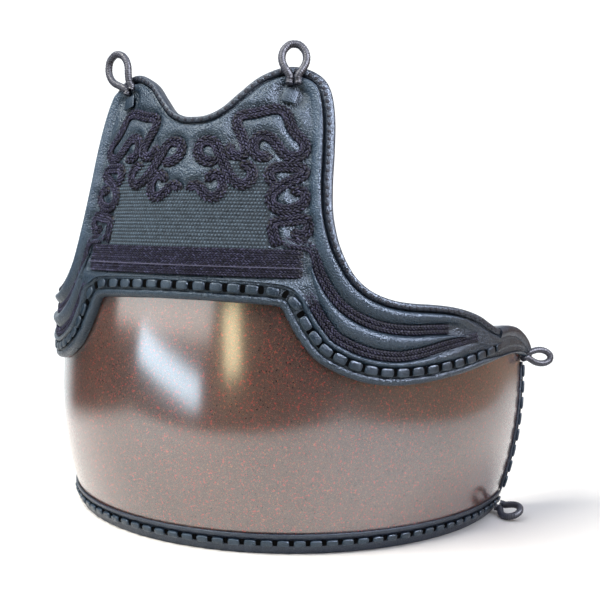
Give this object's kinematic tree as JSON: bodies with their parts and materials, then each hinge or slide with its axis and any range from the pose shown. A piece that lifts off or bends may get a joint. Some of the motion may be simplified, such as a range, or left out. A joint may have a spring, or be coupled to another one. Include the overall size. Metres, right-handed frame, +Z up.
{
  "type": "kendo chest protector",
  "caption": "Rigid curved chest and belly guard with a padded leather upper board, braided cord ornament and leather tying loops.",
  "frame": {"origin": "on the floor, under the middle of the guard's bounding box, with the guard standing on its lower rim", "axes": "+X is the wearer's left, -Y is the way the wearer looks, +Z is up"},
  "size_m": [0.4352, 0.2762, 0.3682],
  "materials": {
    "lacquered_barrel": "dark red-brown speckled lacquer, high gloss",
    "board_leather": "pebbled dark blue-grey leather over padding",
    "edge_leather": "fine-grained dark leather, stitched",
    "thong_leather": "smooth flat thong",
    "woven_cloth": "raised rice-grain stitching",
    "braided_cord": "tight braid, dark indigo",
    "loop_leather": "rolled leather, worn smooth"
  },
  "bodies": {
    "root": {"body_shell": "lacquered_barrel", "chest_board": "board_leather", "board_band": "edge_leather", "board_thong": "thong_leather", "rim_band": "edge_leather", "rim_thong": "thong_leather", "woven_panel": "woven_cloth", "row_cord_1": "braided_cord", "row_cord_2": "braided_cord", "row_cord_3": "braided_cord", "side_band_left": "edge_leather", "side_thong_left": "thong_leather", "corner_cap_left": "edge_leather", "patch_left": "edge_leather", "cloud_curl_left": "braided_cord", "cloud_spiral_left": "braided_cord", "cloud_arch_left": "braided_cord", "cloud_column_left": "braided_cord", "cloud_hook_left": "braided_cord", "upper_wing_cord_left": "braided_cord", "lower_wing_cord_left": "braided_cord", "side_band_right": "edge_leather", "side_thong_right": "thong_leather", "corner_cap_right": "edge_leather", "patch_right": "edge_leather", "cloud_curl_right": "braided_cord", "cloud_spiral_right": "braided_cord", "cloud_arch_right": "braided_cord", "cloud_column_right": "braided_cord", "cloud_hook_right": "braided_cord", "upper_wing_cord_right": "braided_cord", "lower_wing_cord_right": "braided_cord", "horn_loop_left": "loop_leather", "horn_loop_right": "loop_leather", "upper_side_loop_left": "loop_leather", "upper_side_loop_right": "loop_leather", "lower_side_loop_left": "loop_leather", "lower_side_loop_right": "loop_leather"}
  },
  "joints": []
}
